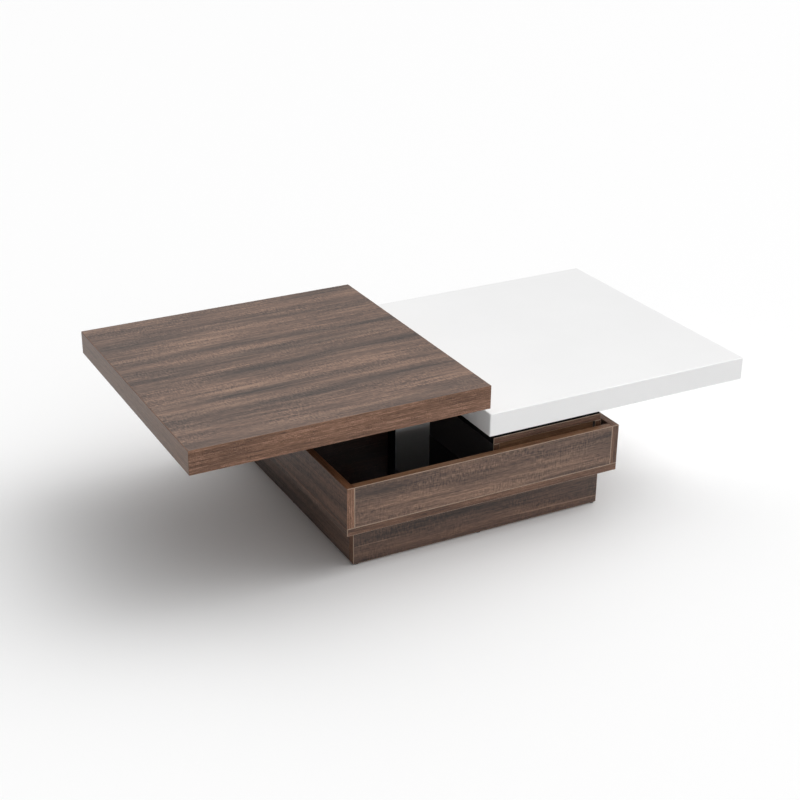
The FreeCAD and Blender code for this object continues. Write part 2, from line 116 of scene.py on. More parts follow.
def bandFrame(low, high, thick, ease, steps=4):
    # an edge band round a square panel: a closed profile of offsets from the panel and heights,
    # with rounded outer edges, carried round the panel's four corners, where it turns as an arc
    low, high = np.array(low), np.array(high)
    quarter = np.linspace(0, math.pi / 2, steps + 1)
    up, out = np.cos(quarter), np.sin(quarter)
    flat = thick - ease
    offset = np.concatenate([[0, 0], flat + ease * out, flat + ease * out[::-1], [0, 0]])
    height = np.concatenate([[high[2], high[2]], high[2] - ease + ease * up,
                             low[2] + ease - ease * up[::-1], [low[2], low[2]]])
    leanOut = np.concatenate([[-1, 0], out, out[::-1], [0, -1]])
    leanUp = np.concatenate([[0, 1], up, -up[::-1], [-1, 0]])
    turn = np.concatenate([quarter + side * math.pi / 2 for side in range(4)])[None, :]
    right = np.repeat([1, -1, -1, 1], steps + 1)[None, :]
    back = np.repeat([1, 1, -1, -1], steps + 1)[None, :]
    panel = (high - low) / 2 - thick
    centre = (low + high) / 2
    points = np.stack(np.broadcast_arrays(
        centre[0] + right * panel[0] + offset[:, None] * np.cos(turn),
        centre[1] + back * panel[1] + offset[:, None] * np.sin(turn), height[:, None]), -1)
    normals = np.stack(np.broadcast_arrays(
        leanOut[:, None] * np.cos(turn), leanOut[:, None] * np.sin(turn), leanUp[:, None]), -1)
    rows, columns = points.shape[:2]
    faces = gridFaces(rows, columns, closedRows=True)
    return points.reshape(-1, 3), faces, normals.reshape(-1, 3)


def turnedGrid(radii, heights, places, sign):
    # turned shapes: rings of radii (one for each height and angle) about each place, mirrored
    # upside down where the sign is -1; the first and last rings close on the axis
    rows, columns = radii.shape
    angle = np.arange(columns) / columns * 2 * math.pi
    ring = np.stack(np.broadcast_arrays(
        radii * np.cos(angle), radii * np.sin(angle), heights[:, None] * sign), -1)
    points = np.array(places)[:, None, :] + ring.reshape(1, -1, 3)
    faces = np.array(gridFaces(rows, columns))
    if sign < 0:
        faces = faces[:, ::-1]
    shift = np.arange(len(places))[:, None, None] * rows * columns
    return points.reshape(-1, 3), (faces[None] + shift).reshape(-1, 4).tolist()


# Metres of printed sheet from one number's stretch to the next, and from side to side of a board.
sheetShift = {"along": 0.83, "across": 0.47, "side": 0.19}


def layGrain(piece, grain, number):
    # the grain map in metres: u is the place along the grain on the two wide faces and along the
    # length of each narrow one, v the place across it, each plus its shift times the number
    mesh = piece.data
    low, high = (np.array(piece.bound_box)[corner] for corner in (0, 6))  # its far corners
    size = high - low
    thin = int(size.argmin())
    along = [grain if side == thin else max({0, 1, 2} - {side}, key=lambda axis: size[axis])
             for side in range(3)]
    along = [axis if axis != side else (side + 1) % 3 for side, axis in enumerate(along)]
    across = [({0, 1, 2} - {side, axis}).pop() for side, axis in enumerate(along)]
    normal = np.empty(len(mesh.polygons) * 3)
    mesh.polygons.foreach_get("normal", normal)
    side = np.abs(normal.reshape(-1, 3)).argmax(1)
    loops = np.empty(len(mesh.polygons), int)
    mesh.polygons.foreach_get("loop_total", loops)
    side = np.repeat(side, loops)
    vertex = np.empty(len(mesh.loops), int)
    mesh.loops.foreach_get("vertex_index", vertex)
    place = np.empty(len(mesh.vertices) * 3)
    mesh.vertices.foreach_get("co", place)
    place = place.reshape(-1, 3)[vertex]
    pick = np.arange(len(place))
    u = place[pick, np.array(along)[side]] + sheetShift["along"] * number
    v = place[pick, np.array(across)[side]] + sheetShift["across"] * number
    v = v + sheetShift["side"] * side
    mesh.uv_layers.new(name="grain").data.foreach_set("uv", np.stack([u, v], 1).ravel())


def faceSides(piece, materials, choose):
    # gives each face a material: choose turns the faces' normals into places in the list
    for material in materials:
        piece.data.materials.append(material)
    normal = np.empty(len(piece.data.polygons) * 3)
    piece.data.polygons.foreach_get("normal", normal)
    chosen = choose(normal.reshape(-1, 3)).astype(np.int32)
    piece.data.polygons.foreach_set("material_index", chosen)


def placePiece(piece, *nodes):
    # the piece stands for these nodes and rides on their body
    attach(piece, bodyOf[nodes[0]])
    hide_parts(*nodes)


def camelCase(node):
    # the node's words joined, each after the first with a capital
    first, *rest = node.split("_")
    return first + "".join(word.capitalize() for word in rest)


def linearColour(hexText):
    # sRGB hex to the linear values that shader sockets hold
    value = np.array([int(hexText[place:place + 2], 16) for place in (1, 3, 5)]) / 255
    value = np.where(value <= 0.04045, value / 12.92, ((value + 0.055) / 1.055) ** 2.4)
    return (*value.tolist(), 1.0)


def addNode(tree, kind, settings=None, inputs=None):
    # one node with its settings; an input given as (node, output) is linked, any other is a
    # fixed value; a ramp's stops are given as positions and hex colours. A mix goes by numbers:
    # input 0 is the share, 2 and 3 are values that give output 0, and 6 and 7 are colours that
    # give output 2
    node = tree.nodes.new(kind)
    for name, value in (settings or {}).items():
        if name == "stops":
            ramp = node.color_ramp.elements
            while len(ramp) < len(value):
                ramp.new(0.5)        # moved to its own position below
            for stop, (position, colour) in zip(ramp, value):
                stop.position = position
                stop.color = linearColour(colour)
        else:
            setattr(node, name, value)
    for name, value in (inputs or {}).items():
        if isinstance(value, tuple) and isinstance(value[0], bpy.types.Node):
            tree.links.new(value[0].outputs[value[1]], node.inputs[name])
        else:
            node.inputs[name].default_value = value
    return node


def startMaterial(name, values):
    # a new material with the fixed values of its shader
    material = bpy.data.materials.new(name)
    material.use_nodes = True
    shader = material.node_tree.nodes["Principled BSDF"]
    for socket, value in values.items():
        shader.inputs[socket].default_value = value
    return material, material.node_tree, shader


def stretchedNoise(tree, vector, size, detail=2.0, start=(0, 0, 0)):
    # noise whose blobs are as long and wide as the size, in metres; the start is in blobs
    scale = tuple(1 / side for side in size)
    scaled = addNode(tree, "ShaderNodeMapping", {"vector_type": "POINT"},
                     {"Vector": vector, "Location": start, "Scale": scale})
    return addNode(tree, "ShaderNodeTexNoise", None,
                   {"Vector": (scaled, "Vector"), "Scale": 1.0, "Detail": detail,
                    "Roughness": 0.6}), "Fac"


# Walnut melamine: particleboard faced with printed paper under resin, pressed with a fine pore.
# The eye sees cool dark bands across a rosy brown, long straight fibres, patches of faint ticks
# that cross them, a few pale lines and a satin sheen. Sizes are a length and a width in metres.
walnutDecor = {
    "name": "walnut melamine satin",
    "stops": [(0.0, "#40302a"), (0.35, "#5f493d"), (0.65, "#795d4d"), (1.0, "#967762")],
    # the fibres' sizes, weights and starts; coarser than real fibres, so that they show
    "fibres": [((0.55, 0.036, 1), 0.27, (24.3, 106.0, 0)),
               ((0.28, 0.0100, 1), 0.20, (10.8, 37.1, 0)),
               ((0.20, 0.0036, 1), 0.24, (0, 0, 0)),
               ((0.018, 0.0024, 1), 0.29, (0, 0, 0))],
    "window": (0.396, 0.586),              # the part of the summed fibres that the colours span
    "swing": (0.70, 0.16, 1), "swingBy": 30 * mm,
    "ripple": (0.20, 0.050, 1), "rippleBy": 7 * mm,
    "tick": (0.0042, 0.011, 1), "tickBy": 0.32,
    "tickPatch": (0.14, 0.045, 1), "tickFrom": (0.36, 0.64),
    "band": (0.60, 0.062, 1), "bandFrom": (0.42, 0.66), "bandStart": (16.2, 15.9, 0),
    "bandTint": "#b0b3b8",
    "line": (0.50, 0.0060, 1), "lineFrom": (0.66, 0.74), "lineColour": "#a5836d", "lineShare": 0.5,
    "roughness": (0.34, 0.46), "bump": 0.06 * mm,
}

# Walnut edge band: thin plastic printed with a finer grain along the edge. The eye sees a redder
# brown than on the faces, fine lines that start and stop, and the same satin sheen.
walnutBand = {
    "name": "walnut edge band satin",
    "stops": [(0.0, "#452a1a"), (0.35, "#69452c"), (0.65, "#835d46"), (1.0, "#a67c65")],
    "fibres": [((0.30, 0.020, 1), 0.20, (0, 0, 0)),
               ((0.120, 0.0021, 1), 0.46, (0, 0, 0)),
               ((0.018, 0.0018, 1), 0.34, (0, 0, 0))],
    "window": (0.395, 0.615),
    "swing": (0.40, 0.10, 1), "swingBy": 4 * mm,
    "ripple": (0.05, 0.020, 1), "rippleBy": 1.2 * mm,
    "tick": (0.0032, 0.0030, 1), "tickBy": 0.28,
    "tickPatch": (0.05, 0.020, 1), "tickFrom": (0.36, 0.64),
    "band": (0.40, 0.030, 1), "bandFrom": (0.52, 0.68), "bandStart": (0, 0, 0),
    "bandTint": "#dcd8d4",
    "line": (0.40, 0.005, 1), "lineFrom": (0.68, 0.76), "lineColour": "#a67f68", "lineShare": 0.35,
    "roughness": (0.36, 0.46), "bump": 0.05 * mm,
}

# Copies of the band that carry painted light and shade: orange and dimmer on the rims, partly
# the band's own tone and partly painted shade; pale, as painted light, on the tray's front rim and
# the low box's front panel; dark, as painted shade, on the tray's bottom board and right panel and
# round the low box; and flat, greyer and darker down the two sides of the walnut top, as painted
# shade with a painted sheen.
rimShadeBand = dict(walnutBand, name="walnut edge band rim",
               stops=[(0.0, "#4f3120"), (0.35, "#6f4a31"), (0.65, "#7e563b"), (1.0, "#976b4d")])
paintedLightBand = dict(walnutBand, name="walnut edge band pale",
                stops=[(0.0, "#65442f"), (0.35, "#835e44"), (0.65, "#946d50"), (1.0, "#ac8465")])
paintedShadeBand = dict(walnutBand, name="walnut edge band dark",
                stops=[(0.0, "#3c261a"), (0.35, "#5d3f2d"), (0.65, "#72513d"), (1.0, "#8e6852")])
sideShadeBand = dict(walnutBand, name="walnut edge band grey", window=(0.33, 0.67), tickBy=0.1,
                stops=[(0.0, "#4b301e"), (0.35, "#63442d"), (0.65, "#74523a"), (1.0, "#8b6649")])

# The plinth and the tray's left panel are faced from a darker copy of the sheet, painted shade
# under the overhangs, and the high box from a near-black copy, painted shade for the deep shade
# under the top.
shadeDecor = dict(walnutDecor, name="walnut melamine dark", bandTint="#c8c9cb",
                   stops=[(0.0, "#3b2d27"), (0.35, "#554137"), (0.65, "#694f42"), (1.0, "#80624f")])
deepShadeDecor = dict(walnutDecor, name="walnut melamine smoked",
                   stops=[(0.0, "#2a1814"), (0.35, "#3f261e"), (0.65, "#4d2f25"), (1.0, "#5e3b2f")])


def grainMaterial(look):
    # noise fibres, bent by slow noise, are summed with the ticks and coloured; where broad noise
    # is high the bands' tint is multiplied in, and where thin noise is high a pale line is mixed
    # in; the same sum sets the sheen and presses the pores
    material, tree, shader = startMaterial(look["name"], {"IOR": 1.5, "Specular IOR Level": 0.5})
    grain = addNode(tree, "ShaderNodeUVMap", {"uv_map": "grain"}), "UV"
    bent = grain
    for bend in ("swing", "ripple"):
        noise = stretchedNoise(tree, grain, look[bend])[0]
        bent = addNode(tree, "ShaderNodeVectorMath", {"operation": "MULTIPLY_ADD"},
                       {0: (noise, "Color"), 1: (0.0, look[bend + "By"], 0.0), 2: bent}), "Vector"

    def raised(size, window, top=1.0, start=(0, 0, 0)):
        # noise of this size, from 0 below the window to the top value above it
        return addNode(tree, "ShaderNodeMapRange", None,
                       {"Value": stretchedNoise(tree, bent, size, start=start),
                        "From Min": window[0], "From Max": window[1], "To Max": top}), "Result"

    total = 0.0
    for size, weight, start in look["fibres"]:
        total = addNode(tree, "ShaderNodeMath", {"operation": "MULTIPLY_ADD"},
                        {0: stretchedNoise(tree, bent, size, detail=3.0, start=start),
                         1: weight, 2: total}), "Value"
    tick = addNode(tree, "ShaderNodeMath", {"operation": "SUBTRACT"},
                   {0: stretchedNoise(tree, bent, look["tick"], detail=1.0), 1: 0.5}), "Value"
    total = addNode(tree, "ShaderNodeMath", {"operation": "MULTIPLY_ADD"},
                    {0: tick, 1: raised(look["tickPatch"], look["tickFrom"], look["tickBy"]),
                     2: total}), "Value"
    low, high = look["window"]
    share = addNode(tree, "ShaderNodeMapRange", None,
                    {"Value": total, "From Min": low, "From Max": high}), "Result"
    colour = addNode(tree, "ShaderNodeValToRGB", {"stops": look["stops"]}, {"Fac": share}), "Color"
    colour = addNode(tree, "ShaderNodeMix", {"data_type": "RGBA", "blend_type": "MULTIPLY"},
                     {0: raised(look["band"], look["bandFrom"], start=look["bandStart"]),
                      6: colour, 7: linearColour(look["bandTint"])}), 2
    colour = addNode(tree, "ShaderNodeMix", {"data_type": "RGBA"},
                     {0: raised(look["line"], look["lineFrom"], look["lineShare"]), 6: colour,
                      7: linearColour(look["lineColour"])})
    tree.links.new(colour.outputs[2], shader.inputs["Base Color"])
    smooth, matte = look["roughness"]
    sheen = addNode(tree, "ShaderNodeMapRange", None,
                    {"Value": share, "To Min": matte, "To Max": smooth})
    tree.links.new(sheen.outputs["Result"], shader.inputs["Roughness"])
    pores = addNode(tree, "ShaderNodeBump", None,
                    {"Height": total, "Strength": 0.5, "Distance": look["bump"]})
    tree.links.new(pores.outputs["Normal"], shader.inputs["Normal"])
    return material


def speckledMaterial(name, values, colours, size, bump=0.0, detail=3.0, window=(0.35, 0.65)):
    # one colour drifting into another in noise of the given size, with a bump of the same noise
    material, tree, shader = startMaterial(name, values)
    place = addNode(tree, "ShaderNodeTexCoord"), "Object"
    noise = stretchedNoise(tree, place, size, detail)
    share = addNode(tree, "ShaderNodeMapRange", None,
                    {"Value": noise, "From Min": window[0], "From Max": window[1]}), "Result"
    colour = addNode(tree, "ShaderNodeMix", {"data_type": "RGBA"},
                     {0: share, 6: linearColour(colours[0]), 7: linearColour(colours[1])})
    tree.links.new(colour.outputs[2], shader.inputs["Base Color"])
    if bump:
        relief = addNode(tree, "ShaderNodeBump", None,
                         {"Height": noise, "Strength": 0.5, "Distance": bump})
        tree.links.new(relief.outputs["Normal"], shader.inputs["Normal"])
    return material


finishes = {
    "walnutFace": grainMaterial(walnutDecor),
    "walnutEdge": grainMaterial(walnutBand),
    "walnutRim": grainMaterial(rimShadeBand),
    "paleRim": grainMaterial(paintedLightBand),
    "darkEdge": grainMaterial(paintedShadeBand),
    "greyEdge": grainMaterial(sideShadeBand),
    "walnutPlinth": grainMaterial(shadeDecor),
    "walnutSmoked": grainMaterial(deepShadeDecor),
    # where a band is milled flush its pale plastic core shows as a hairline; on the walnut boards
    # it is drawn only on edges that face up and inwards, so there it is also a painted highlight
    "bandCorner": speckledMaterial("milled edge band corner", {"Roughness": 0.4},
                                   ("#a58c79", "#b8a08d"), (0.02, 0.02, 0.02)),
    # sprayed and polished lacquer: bright, mirror smooth, with the faintest orange peel
    "whiteLacquer": speckledMaterial(
        "white lacquer high gloss", {"Roughness": 0.06, "IOR": 1.5}, ("#f6f6f6", "#f8f8f8"),
        (0.25, 0.25, 0.25), bump=0.004 * mm),
    # float glass painted black behind: mirror smooth, and the coat stands for the second, strong
    # reflection off the paint
    "blackGloss": speckledMaterial(
        "black glass back painted", {"Roughness": 0.03, "IOR": 1.52, "Specular IOR Level": 1.0,
                                     "Coat Weight": 1.0, "Coat IOR": 2.9, "Coat Roughness": 0.02},
        ("#08080a", "#0b0b0d"), (0.2, 0.2, 0.2), bump=0.002 * mm),
    # black melamine, lightened to charcoal as painted light in the shade of the tops: satin, with a
    # barely visible pore
    "blackSatin": speckledMaterial(
        "charcoal melamine satin", {"Roughness": 0.38, "IOR": 1.5}, ("#4a4a4c", "#545456"),
        (0.004, 0.004, 0.004), bump=0.03 * mm),
    # matte black paint on the packers; on the boxes' top boards and the high box this near-black is
    # painted shade: no sheen, so that the gaps under the tops stay dark
    "blackMatte": speckledMaterial(
        "black paint matte", {"Roughness": 0.8, "Specular IOR Level": 0.2}, ("#0b0b0c", "#121213"),
        (0.002, 0.002, 0.002), bump=0.03 * mm),
    # particleboard: pressed chips a few millimetres across, dull and pale
    "rawBoard": speckledMaterial(
        "particleboard raw", {"Roughness": 0.9}, ("#8d7350", "#c2a679"), (0.006, 0.006, 0.002),
        bump=0.3 * mm, detail=5.0, window=(0.42, 0.58)),
    # kraft paper comb: brown, dull, with vertical cell walls
    "kraftComb": speckledMaterial(
        "kraft paper comb", {"Roughness": 0.95}, ("#7d6243", "#b2946a"), (0.012, 0.012, 0.4),
        bump=0.8 * mm, detail=0.0, window=(0.47, 0.53)),
    # turned beech: pale and dull, with short streaks
    "beech": speckledMaterial(
        "beech dowel turned", {"Roughness": 0.6}, ("#b98f62", "#d0a97c"), (0.02, 0.0016, 0.0016),
        bump=0.1 * mm),
    # steel plate under thin black powder coat: soft sheen and a fine texture
    "blackSteel": speckledMaterial(
        "pressed steel powder coated", {"Roughness": 0.42, "IOR": 1.5}, ("#161616", "#202020"),
        (0.0012, 0.0012, 0.0012), bump=0.04 * mm),
    # hard polished steel: bright, with small sharp highlights
    "ballSteel": speckledMaterial(
        "bearing steel polished", {"Metallic": 1.0, "Roughness": 0.12}, ("#c4c4c6", "#d8d8da"),
        (0.002, 0.002, 0.002)),
    # zinc plating: a bright grey metal with cloudy patches
    "zincSteel": speckledMaterial(
        "steel zinc plated", {"Metallic": 1.0, "Roughness": 0.3}, ("#a9a9a3", "#cfcfc8"),
        (0.003, 0.003, 0.003), bump=0.01 * mm),
    # undyed nylon: milky, with a waxy sheen
    "nylon": speckledMaterial(
        "nylon natural moulded", {"Roughness": 0.5, "IOR": 1.53}, ("#d2cfc0", "#dedccf"),
        (0.01, 0.01, 0.01), bump=0.02 * mm),
    # black polyethylene: dull, with a soft highlight on its rim
    "glidePlastic": speckledMaterial(
        "polyethylene black moulded", {"Roughness": 0.55}, ("#101010", "#191919"),
        (0.002, 0.002, 0.002), bump=0.03 * mm),
}
print("materials made:", len(finishes))


boardLook = {
    "ease": 1.2 * mm, "boxEase": 1.2 * mm,
    # a normal whose part along an axis is larger than this faces that way, or leans that way
    "flat": 0.99, "slanted": 0.3,
    # stretches of the printed sheet, for the boards that don't take their own number's
    "stretch": {"tray_front_panel": 35.78, "plinth_front_board": 22.83},
    # the box panels that aren't faced in the near-black walnut of painted shade: the low box's
    # front one takes the band of painted light
    "boxFace": {"low_box_front_panel": "paleRim", "low_box_back_panel": "walnutFace"},
}
walnutBoards = {  # the axis along which each board's grain runs
    "plinth_front_board": axisX, "plinth_back_board": axisX,
    "plinth_left_board": axisY, "plinth_right_board": axisY,
    "tray_bottom_board": axisX, "tray_front_panel": axisX, "tray_back_panel": axisX,
    "tray_left_panel": axisY, "tray_right_panel": axisY,
}
boxBoards = ["top_board", "left_panel", "right_panel", "front_panel", "back_panel"]


def makeWalnutBoard(node, grain, number):
    # wide faces in walnut, darker as painted shade on the plinth and the tray's left panel; the
    # edges
    # banded: rims orange with painted shade, the tray's front one pale with painted light; the
    # bottom board shows bands of painted shade in front and behind, and its face's walnut at the
    # sides, and the right panel's edges are in painted shade too; the milled hairline, also a
    # painted highlight, is on edges that lean to the front or back, not downwards or away from the
    # middle
    low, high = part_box(node)
    piece = makePiece(camelCase(node), *easedBox(low, high, boardLook["ease"]))
    layGrain(piece, grain, boardLook["stretch"].get(node, number))
    thin = int(np.array(piece.dimensions).argmin())
    onFace, onBand, onRim, onHairlineHighlight = range(4)

    def choose(normal):
        steep = np.abs(normal)
        if thin == axisZ:
            edge = np.where(steep[:, axisY] > boardLook["flat"], onRim, onFace)
        else:
            edge = np.where(steep[:, axisZ] > boardLook["flat"], onRim, onBand)
        chosen = np.where(steep[:, thin] > boardLook["flat"], onFace, edge)
        # the hairline, also a painted highlight, is kept to edges facing up and towards the middle
        inward = normal[:, axisX] * (low.x + high.x) <= 0
        facesHighlight = inward & (normal[:, axisZ] > -boardLook["slanted"])
        corner = np.where((steep[:, axisY] > boardLook["slanted"]) & facesHighlight, onHairlineHighlight, onBand)
        return np.where(steep.max(1) > boardLook["flat"], chosen, corner)

    # the plinth and the tray's left panel take the darker walnut of painted shade
    face = "walnutPlinth" if node.startswith(("plinth", "tray_left")) else "walnutFace"
    # the tray's front rim takes the pale band of painted light; the bottom board's edges and the
    # right panel's take the band of painted shade
    rim = {"tray_bottom_board": "darkEdge", "tray_front_panel": "paleRim"}.get(node, "walnutRim")
    band = "darkEdge" if node == "tray_right_panel" else "walnutEdge"
    faceSides(piece, [finishes[name] for name in (face, band, rim, "bandCorner")], choose)
    placePiece(piece, node)


def makeBoxBoard(node, number):
    # front and back panels are faced in walnut, near black as painted shade on the high box and
    # pale as painted light on the low box's front; the low box's other boards have bands of painted
    # shade in front and behind, all its boards have hairlines, partly painted highlights, its sides
    # are black lightened as painted light, and the rest is black darkened as painted shade
    piece = makePiece(camelCase(node), *easedBox(*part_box(node), boardLook["boxEase"]))
    layGrain(piece, axisX, number)
    wide = node.endswith(("front_panel", "back_panel"))
    low = node.startswith("low")
    onFront, onSide, onHairlineHighlight = range(3)

    def choose(normal):
        facing = np.abs(normal[:, axisY])
        slanted = (np.abs(normal).max(1) < boardLook["flat"]) & (facing > boardLook["slanted"])
        straight = np.where(facing > boardLook["flat"], onFront, onSide)
        return np.where(slanted, onHairlineHighlight, straight)

    # walnut of painted deep shade on the high box, of painted light on the low box's front panel;
    # black paint of painted shade on the top boards and the high box; the low box's sides lightened
    # as painted light
    walnut = boardLook["boxFace"].get(node, "walnutSmoked")
    side = "blackMatte" if node.endswith("top_board") or not low else "blackSatin"
    front = walnut if wide else "darkEdge" if low else side
    corner = "bandCorner" if low else side
    faceSides(piece, [finishes[name] for name in (front, side, corner)], choose)
    placePiece(piece, node)


for number, (node, grain) in enumerate(walnutBoards.items(), start=1):
    makeWalnutBoard(node, grain, number)
for number, node in enumerate((f"{box}_{board}" for box in ("low_box", "high_box")
                               for board in boxBoards), start=len(walnutBoards) + 1):
    makeBoxBoard(node, number)
print("boards made:", len(walnutBoards) + 2 * len(boxBoards))


plainBoards = {  # finish and edge rounding
    "tray_floor_liner": ("blackGloss", 0.5 * mm),
    "white_packer_board": ("blackMatte", 0.8 * mm),
    "walnut_packer_board": ("blackMatte", 0.8 * mm),
    "plinth_brace": ("rawBoard", 0.4 * mm),
}
for node, (finish, ease) in plainBoards.items():
    piece = makePiece(camelCase(node), *easedBox(*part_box(node), ease))
    piece.data.materials.append(finishes[finish])
    placePiece(piece, node)


topLook = {
    "whiteEase": 3.0 * mm,   # the lacquered edges are sanded rounder than the banded ones
    "whiteSteps": 6,
    "skinEase": 0.2 * mm,
    "bandEase": 1.0 * mm,
    "bandThick": 1.5 * mm,
    # a normal of the band whose part along Z or X is larger than this is on its rim or side
    "rimFrom": 0.3, "sideFrom": 0.7,
    "skinStretch": 20, "bandStretch": 30.97,   # of the printed sheet
}


def makeWhiteTop():
    # lacquer hides the seams, so skins and bands are one shell
    low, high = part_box("white_edge_bands")
    shell = makePiece("whiteLacquerShell", *easedBox(low, high, topLook["whiteEase"],
                                                     topLook["whiteSteps"]))
    shell.data.materials.append(finishes["whiteLacquer"])
    placePiece(shell, "white_upper_skin", "white_lower_skin", "white_edge_bands")


def makeWalnutTop():
    # two faced skins inside a band whose milled rim shows as a thin line
    for number, node in enumerate(("walnut_upper_skin", "walnut_lower_skin"),
                                  start=topLook["skinStretch"]):
        skin = makePiece(camelCase(node), *easedBox(*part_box(node), topLook["skinEase"]))
        layGrain(skin, axisX, number)
        skin.data.materials.append(finishes["walnutFace"])
        placePiece(skin, node)
    low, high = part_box("walnut_edge_bands")
    band = makePiece("walnutEdgeBands", *bandFrame(low, high, topLook["bandThick"],
                                                   topLook["bandEase"]))
    layGrain(band, axisX, topLook["bandStretch"])
    onEdge, onRim, onSide = range(3)

    def choose(normal):
        steep = np.abs(normal)
        upright = np.where(steep[:, axisX] > topLook["sideFrom"], onSide, onEdge)
        return np.where(steep[:, axisZ] > topLook["rimFrom"], onRim, upright)

    # the rims take the orange band with painted shade, the two sides the greyer band of painted
    # shade and sheen
    faceSides(band, [finishes[name] for name in ("walnutEdge", "walnutRim", "greyEdge")], choose)
    placePiece(band, "walnut_edge_bands")


makeWhiteTop()
makeWalnutTop()
print("tops made")


screwLook = {
    "columns": 24, "pitch": 3.0 * mm, "threadDepth": 0.35 * mm, "rowsInPitch": 4,
    "proud": 0.2 * mm,       # how far a head stands out of the board
    "recessArm": 0.62, "recessWidth": 0.17, "recessDepth": 0.42,  # shares of the head's radius
    "recessFloor": 0.8,      # share of the recess's width that its floor has
    "faceRadius": 0.97, "seatRadius": 0.98,   # where the rim's rounding begins and ends
    "rimHeight": 0.7,        # where the head is widest, as a share of what stands out
    "middle": 0.01, "slack": 1e-5,            # metres, for telling the screws apart
}
screwKinds = {  # radius of the shank and of the head, and whether the head is up
    "board_screws": (3 * mm, 5 * mm, False),
    "plinth_screws": (3 * mm, 5 * mm, False),
    "lower_plate_screws": (2 * mm, 4 * mm, True),
    "white_plate_screws": (2 * mm, 4 * mm, False),
    "walnut_plate_screws": (2 * mm, 4 * mm, False),
}


def screwPlaces(node, headUp):
    # the x, y and head height of each of the node's screws, and their length, which they share: a
    # screw's tip is its farthest point from the head, and the screws left of the middle, on it
    # and right of it are each at one height
    mesh = frame["nodes"][node].data
    place = np.empty(len(mesh.vertices) * 3)
    mesh.vertices.foreach_get("co", place)
    place = place.reshape(-1, 3)
    across, middle = place[:, axisX], screwLook["middle"]
    spots = []
    for group in (place[across < -middle], place[np.abs(across) <= middle],
                  place[across > middle]):
        if len(group):
            height = group[:, axisZ]
            low, high = height.min(), height.max()
            tip, head = (low, high) if headUp else (high, low)
            ends = group[np.abs(height - tip) < screwLook["slack"], :2]
            tips = np.unique(np.round(ends, 5), axis=0)      # to a hundredth of a millimetre
            spots += [(x, y, head) for x, y in tips]
            length = high - low
    return spots, length


def makeScrews(node, shank, head, headUp):
    # a countersunk screw: rings down from the recess to the tip; the recess is a cross, and the
    # thread's radius rises and falls once in each turn of a spiral
    spots, length = screwPlaces(node, headUp)
    look = screwLook
    angle = np.arange(look["columns"]) / look["columns"] * 2 * math.pi
    wide = np.maximum(np.abs(np.cos(angle)), np.abs(np.sin(angle)))
    narrow = np.minimum(np.abs(np.cos(angle)), np.abs(np.sin(angle)))
    narrow = np.maximum(narrow, 1e-6)        # never zero
    cross = head * np.minimum(look["recessArm"] / wide, look["recessWidth"] / narrow)
    even = np.ones(look["columns"])
    proud, deep = look["proud"], head * look["recessDepth"]
    neck = shank - head
    thread = np.arange(neck - look["pitch"], 2 * shank - length,
                       -look["pitch"] / look["rowsInPitch"])
    phase = (thread[:, None] / look["pitch"] + angle[None, :] / (2 * math.pi)) % 1
    ridged = shank - look["threadDepth"] * 2 * np.abs(phase - 0.5)
    radii = np.vstack([0 * even, look["recessFloor"] * cross, cross,
                       look["faceRadius"] * head * even, head * even,
                       look["seatRadius"] * head * even, shank * even, shank * even, ridged,
                       (shank - look["threadDepth"]) * even, 0 * even])
    heights = np.concatenate([[proud - deep, proud - deep, proud, proud,
                               proud * look["rimHeight"], 0.0, neck, neck - look["pitch"]],
                              thread, [shank - length, -length]])
    sign = 1 if headUp else -1
    screws = makePiece(camelCase(node), *turnedGrid(radii, heights, spots, sign))
    screws.data.materials.append(finishes["zincSteel"])
    placePiece(screws, node)


glideLook = {
    "columns": 32, "rimPoints": 5,
    "foot": 0.7,             # share of the disc's radius that rests on the floor
    "rimTop": 0.75, "rimDrop": 0.55, "rimInset": 0.25,  # shares of the disc's height
}


def makeGlides():
    # moulded discs under the plinth's corners and the middles of its boards: an upright edge, a
    # quarter of an ellipse drawn inwards below it, and a slope to the foot
    low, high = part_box("floor_glides")
    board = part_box("plinth_front_board")
    middle = -(board[0].y + board[1].y) / 2
    radius = high.x - middle
    rise = high.z - low.z
    look = glideLook
    quarter = np.linspace(0, math.pi / 2, look["rimPoints"])
    inset = look["rimInset"] * rise * (1 - np.cos(quarter))
    drop = look["rimDrop"] * rise * np.sin(quarter)
    radii = np.concatenate([[0, radius], radius - inset, [look["foot"] * radius, 0]])
    heights = np.concatenate([[rise, rise], look["rimTop"] * rise - drop, [0, 0]])
    spots = [(x, y, 0) for x in (-middle, 0, middle) for y in (-middle, 0, middle) if x or y]
    rings = radii[:, None] * np.ones(look["columns"])
    glides = makePiece("floorGlides", *turnedGrid(rings, heights, spots, 1))
    glides.data.materials.append(finishes["glidePlastic"])
    placePiece(glides, "floor_glides")


for node, (shank, head, headUp) in screwKinds.items():
    makeScrews(node, shank, head, headUp)
makeGlides()
print("screws and glides made")


finishOfSlot = {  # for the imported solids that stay
    "raw_particleboard": "rawBoard", "honeycomb_paper": "kraftComb", "beech_dowel": "beech",
    "pressed_steel": "blackSteel", "ball_steel": "ballSteel", "zinc_steel": "zincSteel",
    "cage_plastic": "nylon",
}
for node, shown in frame["nodes"].items():
    if not shown.hide_render:
        shown.data.materials.clear()
        shown.data.materials.append(finishes[finishOfSlot[slotOf[node]]])
        shown.data.shade_smooth()
        shown.data.set_sharp_from_angle(angle=sharpAngle)


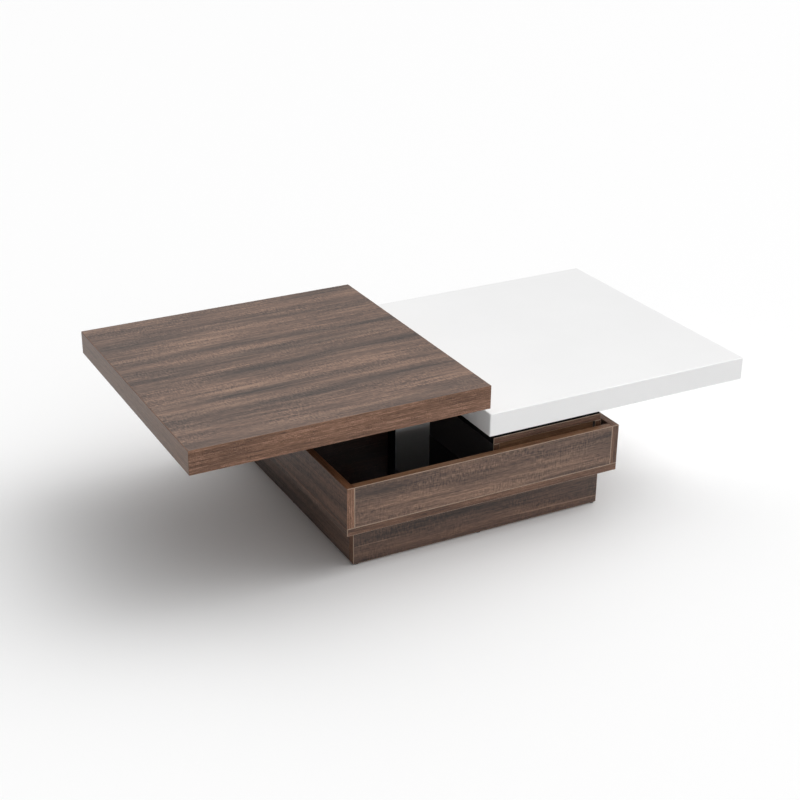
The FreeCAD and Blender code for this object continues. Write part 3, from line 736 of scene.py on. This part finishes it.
stageLook = {
    "rings": (0, 1, 5, 40), "columns": 64,     # radii in metres
    "colour": "#fafafa", "roughness": 0.8,
}
lightLook = {
    "sky": "#ffffff", "dimmest": 0.09, "backdrop": 0.97,
    # three wide soft glows: degrees round from +X, degrees up, sharpness, strength
    "glows": {"key": (0, 45, 8, 4.5), "behind": (90, 45, 8, 1.47), "fill": (-90, 30, 10, 1.17)},
}
cameraLook = {
    "place": (-1.5978, -2.8829, 1.7288), "tilt": 24.873, "turn": 26.784,  # degrees
    "lens": 68.05, "sensor": 36.0, "shift": 0.05, "reach": 200,
}


def makeStage():
    # a flat disc: rings about the middle, far wider than any view
    radii = np.array(stageLook["rings"])[:, None] * np.ones(stageLook["columns"])
    points, faces = turnedGrid(radii, np.zeros(len(radii)), [(0, 0, 0)], 1)
    floor = makePiece("studioFloor", points, faces)
    floor.data.materials.append(speckledMaterial(
        "painted floor matte", {"Roughness": stageLook["roughness"]},
        (stageLook["colour"], stageLook["colour"]), (1, 1, 1)))


def makeLight():
    # the sky's strength is the dimmest value plus, for each glow, its strength times the cosine
    # of the angle to its middle, raised to its sharpness; the camera itself sees a plain backdrop
    world = bpy.data.worlds.new("studio")
    bpy.context.scene.world = world
    world.use_nodes = True
    tree = world.node_tree
    sky = tree.nodes["Background"]
    sky.inputs["Color"].default_value = linearColour(lightLook["sky"])
    towards = addNode(tree, "ShaderNodeTexCoord"), "Generated"
    total = lightLook["dimmest"]
    for side, up, sharpness, strength in lightLook["glows"].values():
        turn, rise = math.radians(side), math.radians(up)
        middle = (math.cos(turn) * math.cos(rise), math.sin(turn) * math.cos(rise), math.sin(rise))
        cosine = addNode(tree, "ShaderNodeVectorMath", {"operation": "DOT_PRODUCT"},
                         {0: towards, 1: middle}), "Value"
        ahead = addNode(tree, "ShaderNodeMath", {"operation": "MAXIMUM"},
                        {0: cosine, 1: 0.0}), "Value"
        glow = addNode(tree, "ShaderNodeMath", {"operation": "POWER"},
                       {0: ahead, 1: sharpness}), "Value"
        total = addNode(tree, "ShaderNodeMath", {"operation": "MULTIPLY_ADD"},
                        {0: glow, 1: strength, 2: total}), "Value"
    seen = addNode(tree, "ShaderNodeLightPath"), "Is Camera Ray"
    total = addNode(tree, "ShaderNodeMix", {"data_type": "FLOAT"},
                    {0: seen, 2: total, 3: lightLook["backdrop"]}), 0
    tree.links.new(total[0].outputs[total[1]], sky.inputs["Strength"])


def makeCamera():
    # the camera looks along +Y, tilted down and then turned clockwise as seen from above
    camera = bpy.data.cameras.new("camera")
    camera.lens = cameraLook["lens"]
    camera.sensor_width = cameraLook["sensor"]
    camera.shift_x = cameraLook["shift"]
    camera.clip_end = cameraLook["reach"]
    holder = bpy.data.objects.new("camera", camera)
    holder.location = cameraLook["place"]
    holder.rotation_euler = (math.radians(90 - cameraLook["tilt"]), 0,
                             -math.radians(cameraLook["turn"]))
    bpy.context.scene.collection.objects.link(holder)
    bpy.context.scene.camera = holder


makeStage()
makeLight()
makeCamera()
bpy.context.scene.view_settings.view_transform = "Standard"
print("stage, light and camera made")
